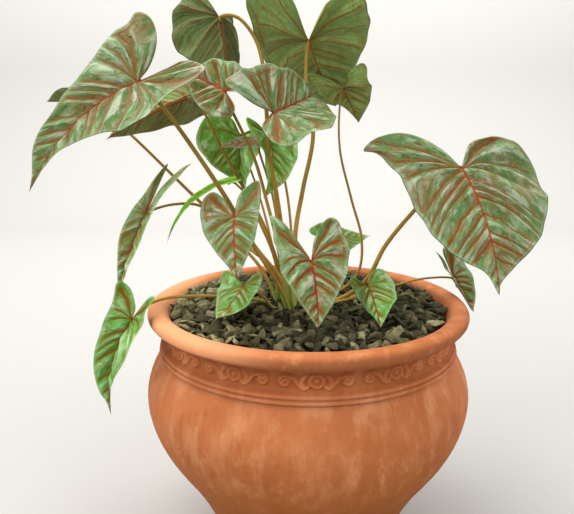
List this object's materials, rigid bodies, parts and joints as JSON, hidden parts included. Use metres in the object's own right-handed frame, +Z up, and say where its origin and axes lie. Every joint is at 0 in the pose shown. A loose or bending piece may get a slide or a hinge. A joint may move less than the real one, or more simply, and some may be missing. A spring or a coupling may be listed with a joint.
{
  "type": "potted dieffenbachia",
  "caption": "Bushy foliage plant with heart-shaped, red-veined leaves on arching stalks, in a wide belly-shaped terracotta pot with a relief frieze.",
  "frame": {"origin": "centre of the pot's flat underside", "axes": "+Z up along the pot's axis, -Y towards the viewer of the picture, +X to the viewer's right"},
  "size_m": [0.556, 0.349, 0.6136],
  "materials": {
    "terracotta": "matte, unglazed, with pale streaks",
    "soil": "matte, moist potting soil",
    "mulch": "matte bark chips",
    "crown": "satin, fibrous",
    "stalk": "satin, living stalk",
    "silver_leaf": "satin, living leaf",
    "green_leaf": "satin, living leaf",
    "leaf_underside": "satin, living leaf, underside"
  },
  "bodies": {
    "root": {"pot": "terracotta", "potting_soil": "soil", "mulch": "mulch", "crown": "crown", "stalk_upper_left": "stalk", "blade_upper_left": "silver_leaf", "stalk_left_behind": "stalk", "blade_left_behind": "leaf_underside", "stalk_left_shaded": "stalk", "blade_left_shaded": "silver_leaf", "stalk_top_left": "stalk", "blade_top_left": "leaf_underside", "stalk_top_middle": "stalk", "blade_top_middle": "leaf_underside", "stalk_top_right_small": "stalk", "blade_top_right_small": "leaf_underside", "stalk_upper_middle": "stalk", "blade_upper_middle": "silver_leaf", "stalk_upper_left_inner": "stalk", "blade_upper_left_inner": "silver_leaf", "stalk_centre_left_green": "stalk", "blade_centre_left_green": "green_leaf", "stalk_centre_narrow": "stalk", "blade_centre_narrow": "silver_leaf", "stalk_centre_right_green": "stalk", "blade_centre_right_green": "green_leaf", "stalk_left_strip": "stalk", "blade_left_strip": "green_leaf", "stalk_left_hanging": "stalk", "blade_left_hanging": "silver_leaf", "stalk_low_left": "stalk", "blade_low_left": "green_leaf", "stalk_low_left_inner": "stalk", "blade_low_left_inner": "green_leaf", "stalk_front_left": "stalk", "blade_front_left": "silver_leaf", "stalk_front_middle": "stalk", "blade_front_middle": "silver_leaf", "stalk_behind_middle": "stalk", "blade_behind_middle": "green_leaf", "stalk_low_right": "stalk", "blade_low_right": "green_leaf", "stalk_right": "stalk", "blade_right": "silver_leaf", "stalk_right_small": "stalk", "blade_right_small": "silver_leaf"}
  },
  "joints": []
}
